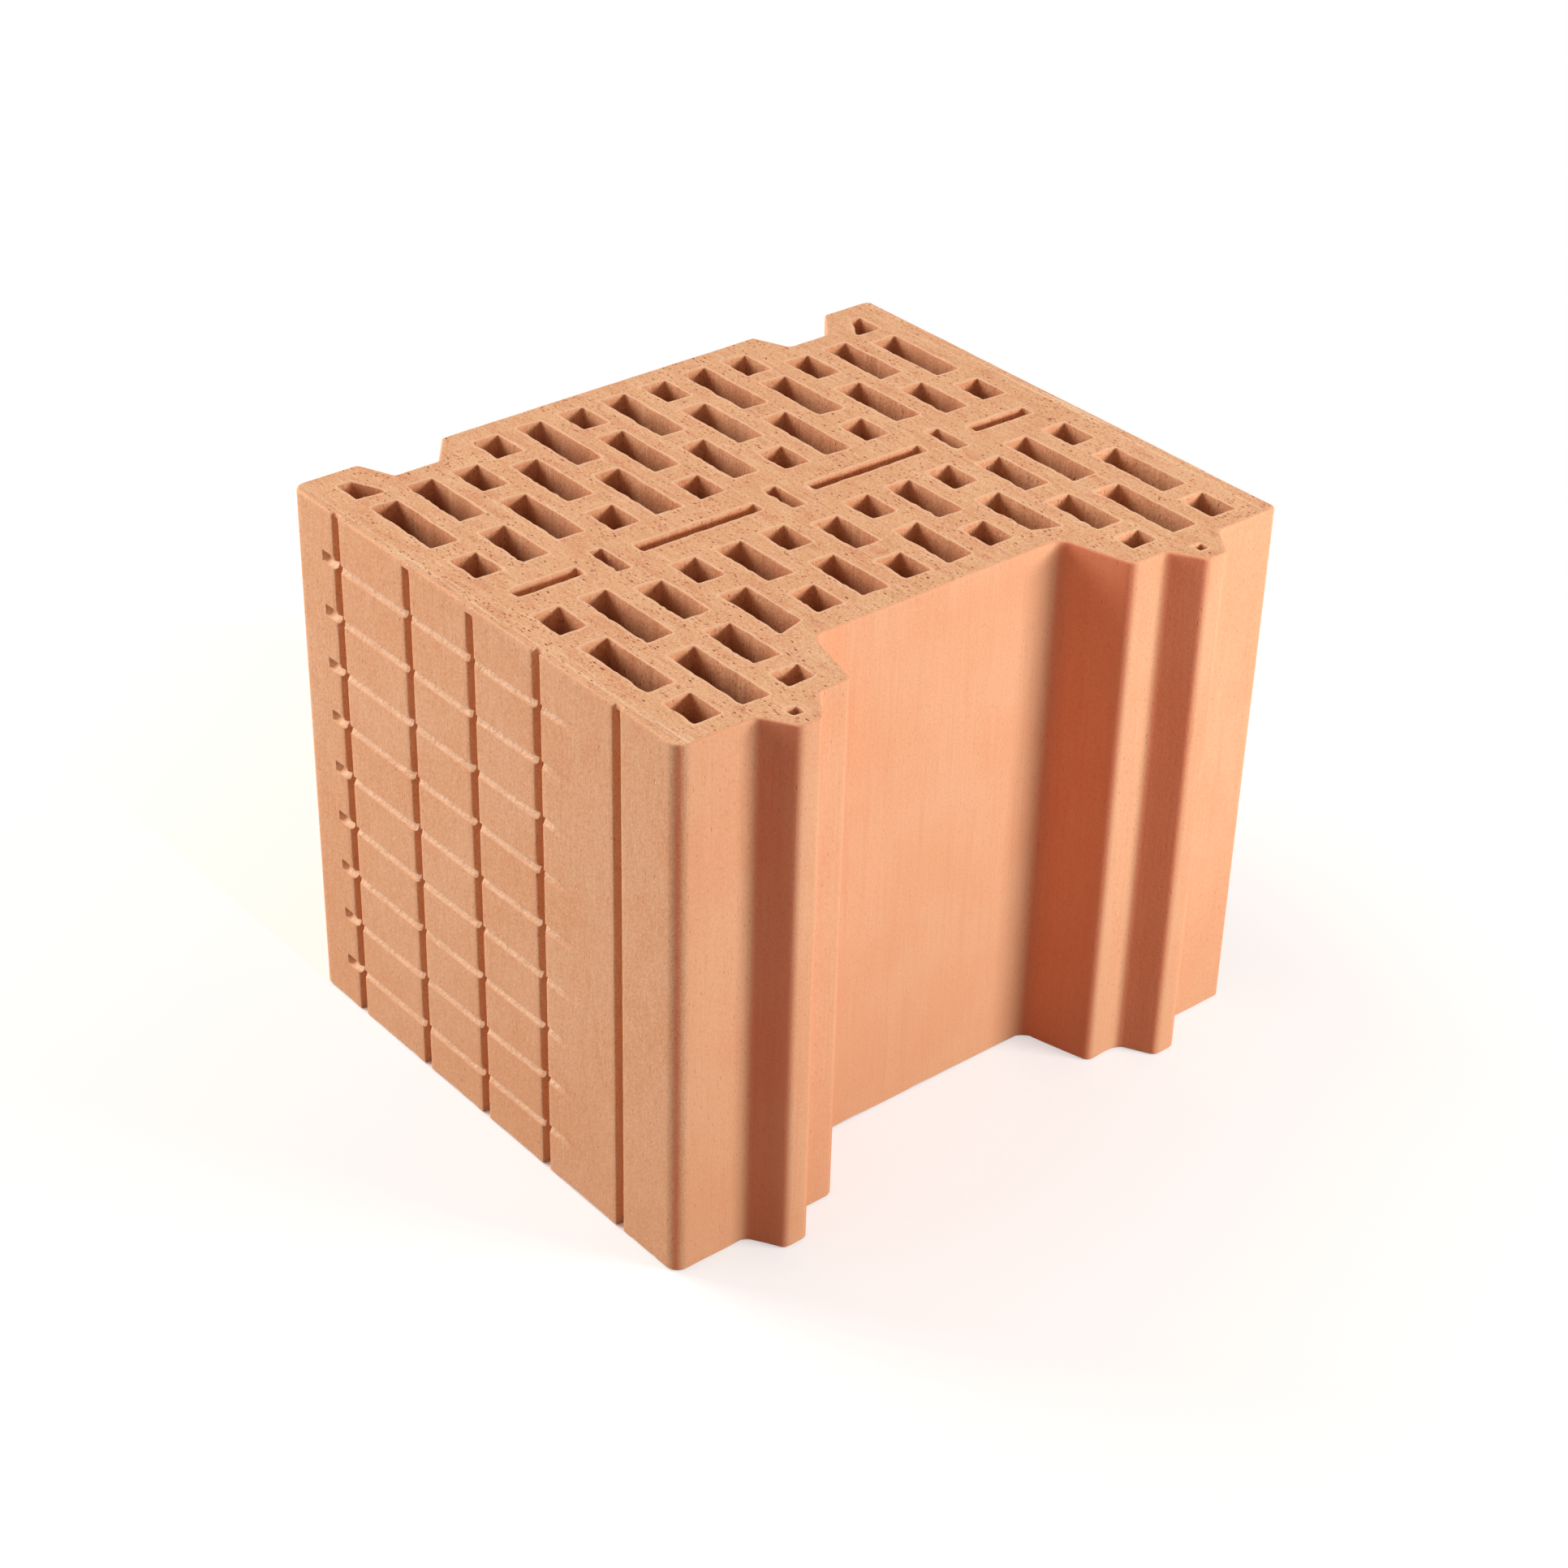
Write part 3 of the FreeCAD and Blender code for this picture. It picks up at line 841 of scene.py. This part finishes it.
def sanded_face():
    """Sanded face: grit stays in the oiled skin of the broad faces, so they look finely sandy and duller.

    Pressed scores lay the clay open, so they look crumbly; their paler tint is a painted highlight.
    """
    # The flank colour is a painted shade tint for flanks and edges that face away from the lamps.
    return clay("fired_clay_sanded_face", {
        "base": "#E1AC84", "patch": "#DFA47A", "blush": "#DA9A72", "pale": "#EDC4A2", "dark": "#C78A64",
        "speck": "#BE7C58", "pit": "#A86243", "flank": "#FFD3CD", "low": "#D79A70"},
        drawn_size=0.9, drawn_stretch=(1, 1, 8), lined=0.3, grainy=0.5, speckled=0.3, relief=0.2,
        crumbly=8.0, highlighted=0.85)


def build_block():
    """The block's body from the frame's outlines."""
    loops = bed_loops(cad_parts[NODE], TOP)
    cells = sorted(loops[1:], key=lambda loop: tuple(loop.mean(0).round(1)))
    shell = Shell()
    walls = [build_outside(shell, loops[0])]
    walls += [build_cell(shell, loop, number) for number, loop in enumerate(cells)]
    build_bed(shell, [(upper, inward) for upper, _, inward in walls], TOP, 1)
    build_bed(shell, [(lower, inward) for _, lower, inward in walls], 0, -1)

    mesh = bpy.data.meshes.new("clay_body")
    mesh.from_pydata([tuple(c * MM for c in point) for point in shell.points], [], shell.faces)
    for finish in (wire_cut, die_skin, cell_wall, sanded_face):
        mesh.materials.append(finish())
    mesh.polygons.foreach_set("material_index", shell.finish)
    mesh.polygons.foreach_set("use_smooth", [True] * len(shell.faces))
    for name, values in (("flank", shell.flank), ("pale", shell.pale)):
        mesh.attributes.new(name, "FLOAT", "POINT").data.foreach_set("value", values)
    mesh.set_sharp_from_angle(angle=SHARP_ANGLE)
    mesh.validate()
    mesh.update()
    triangles = sum(len(face.vertices) - 2 for face in mesh.polygons)
    if triangles >= TRIANGLE_LIMIT:
        raise ValueError(f"the body has {triangles} triangles")
    body = bpy.data.objects.new("clay_body", mesh)
    bpy.context.scene.collection.objects.link(body)
    return body


# The floor and its glow, in metres. The glow is left out under the block and in line with it beyond the
# groove end. RECESS_FLOOR is the place in mm along X from which the recess of the tongue end uncovers it.
FLOOR_REACH = 6.0
FLOOR_DROP = 0.1 * MM
FLOOR_SEEN = "#FBFAF8"
FLOOR_BOUNCE = "#828282"
WHITE = "#FFFFFF"
GLOW_NEAR = 0.2
GLOW_FAR = 0.6
GLOW_LEAST = 0.55
RECESS_FLOOR = 84.0

# The soft boxes: name, place in metres, width and height in metres, and power in watts
SOFT_BOXES = (
    ("soft_box_right", (0.95, 0.54, 0.48), 0.45, 0.2, 12.7),
    ("soft_box_left", (-1.85, -0.75, 1.35), 1.3, 1.3, 53),
    ("soft_box_front_left", (-0.85, -1.75, 0.5), 1.1, 1.1, 16.5),
)
FILL = "#FFDFD0"
FILL_STRENGTH = 0.40

# The camera: its place in metres, its angles in degrees, and its sensor and lens in mm
CAMERA_PLACE = (0.85016, -0.72399, 0.81332)
CAMERA_TURN = 49.650
CAMERA_RISE = 33.375
CAMERA_ROLL = -1.567
SENSOR = 36.0
LENS = 73.08
LENS_SHIFT = 0.0383


def build_floor():
    """A wide pale floor that shows the block's soft shadow and runs out to plain white."""
    mesh = bpy.data.meshes.new("studio_floor")
    ways = ((-1, -1), (1, -1), (1, 1), (-1, 1))
    corners = [(x * FLOOR_REACH, y * FLOOR_REACH, -FLOOR_DROP) for x, y in ways]
    mesh.from_pydata(corners, [], [(0, 1, 2, 3)])
    material, tree = fresh_tree("matt_white_board")
    spots = add(tree, "ShaderNodeTexCoord", output="Object")
    axes = add(tree, "ShaderNodeSeparateXYZ", None, {0: spots})
    away = add(tree, "ShaderNodeVectorMath", {"operation": "LENGTH"}, {0: spots}, "Value")
    seen = shown_rays(tree)
    tone = add(tree, "ShaderNodeMix", COLOUR,
               {SHARE: seen, UNDER: srgb(FLOOR_BOUNCE), OVER: srgb(FLOOR_SEEN)}, LAID)
    board = add(tree, "ShaderNodeBsdfDiffuse", None, {"Color": tone}, "BSDF")
    white = add(tree, "ShaderNodeEmission", None, {"Color": srgb(WHITE), "Strength": 1.0}, "Emission")
    glow = add(tree, "ShaderNodeMapRange", EASED,
               {"Value": away, "From Min": GLOW_NEAR, "From Max": GLOW_FAR, "To Min": GLOW_LEAST}, "Result")
    clear = 0.0
    for side, axis, limit in (("LESS_THAN", "Y", FRONT), ("GREATER_THAN", "Y", BACK),
                              ("GREATER_THAN", "X", RECESS_FLOOR)):
        past = add(tree, "ShaderNodeMath", {"operation": side}, {0: axes.outputs[axis], 1: limit * MM}, 0)
        clear = add(tree, "ShaderNodeMath", LARGER, {0: clear, 1: past}, 0)
    shown = add(tree, "ShaderNodeMath", TIMES, {0: glow, 1: seen}, 0)
    shown = add(tree, "ShaderNodeMath", TIMES, {0: shown, 1: clear}, 0)
    surface = add(tree, "ShaderNodeMixShader", None, {0: shown, 1: board, 2: white}, 0)
    add(tree, "ShaderNodeOutputMaterial", None, {"Surface": surface})
    mesh.materials.append(material)
    floor = bpy.data.objects.new("studio_floor", mesh)
    bpy.context.scene.collection.objects.link(floor)
    return floor


def build_light(name, place, width, height, power):
    """A soft box aimed at the middle of the block."""
    aim = Vector((0, 0, TOP * MM / 2))
    data = bpy.data.lights.new(name, "AREA")
    data.shape = "RECTANGLE"
    data.size = width
    data.size_y = height
    data.energy = power
    lamp = bpy.data.objects.new(name, data)
    lamp.location = place
    lamp.rotation_mode = "QUATERNION"
    lamp.rotation_quaternion = (aim - lamp.location).to_track_quat("-Z", "Y")
    bpy.context.scene.collection.objects.link(lamp)


def build_world():
    """White where the camera looks past the floor, and a low even fill for the block."""
    world = bpy.data.worlds.new("studio")
    world.use_nodes = True
    tree = world.node_tree
    tree.nodes.clear()
    seen = shown_rays(tree)
    fill = add(tree, "ShaderNodeBackground", None, {"Color": srgb(FILL), "Strength": FILL_STRENGTH}, 0)
    white = add(tree, "ShaderNodeBackground", None, {"Color": srgb(WHITE), "Strength": 1.0}, 0)
    surface = add(tree, "ShaderNodeMixShader", None, {0: seen, 1: fill, 2: white}, 0)
    add(tree, "ShaderNodeOutputWorld", None, {"Surface": surface})
    bpy.context.scene.world = world


def build_camera():
    """The camera from which the block is seen: above the front right corner, slightly rolled."""
    turn, rise, roll = (math.radians(angle) for angle in (CAMERA_TURN, CAMERA_RISE, CAMERA_ROLL))
    right = Vector((math.cos(turn), math.sin(turn), 0))
    back = Vector((math.sin(turn) * math.cos(rise), -math.cos(turn) * math.cos(rise), math.sin(rise)))
    down = (-back).cross(right)
    across = right * math.cos(roll) + down * math.sin(roll)
    under = down * math.cos(roll) - right * math.sin(roll)
    data = bpy.data.cameras.new("camera")
    data.sensor_width = SENSOR
    data.lens = LENS
    data.shift_y = LENS_SHIFT
    camera = bpy.data.objects.new("camera", data)
    turned = Matrix((across, -under, back)).transposed().to_4x4()
    camera.matrix_world = Matrix.Translation(CAMERA_PLACE) @ turned
    bpy.context.scene.collection.objects.link(camera)
    bpy.context.scene.camera = camera


block = build_block()
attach(block, "root")
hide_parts(NODE)
floor = build_floor()
for soft_box in SOFT_BOXES:
    build_light(*soft_box)
build_world()
build_camera()
bpy.context.scene.view_settings.view_transform = "Standard"
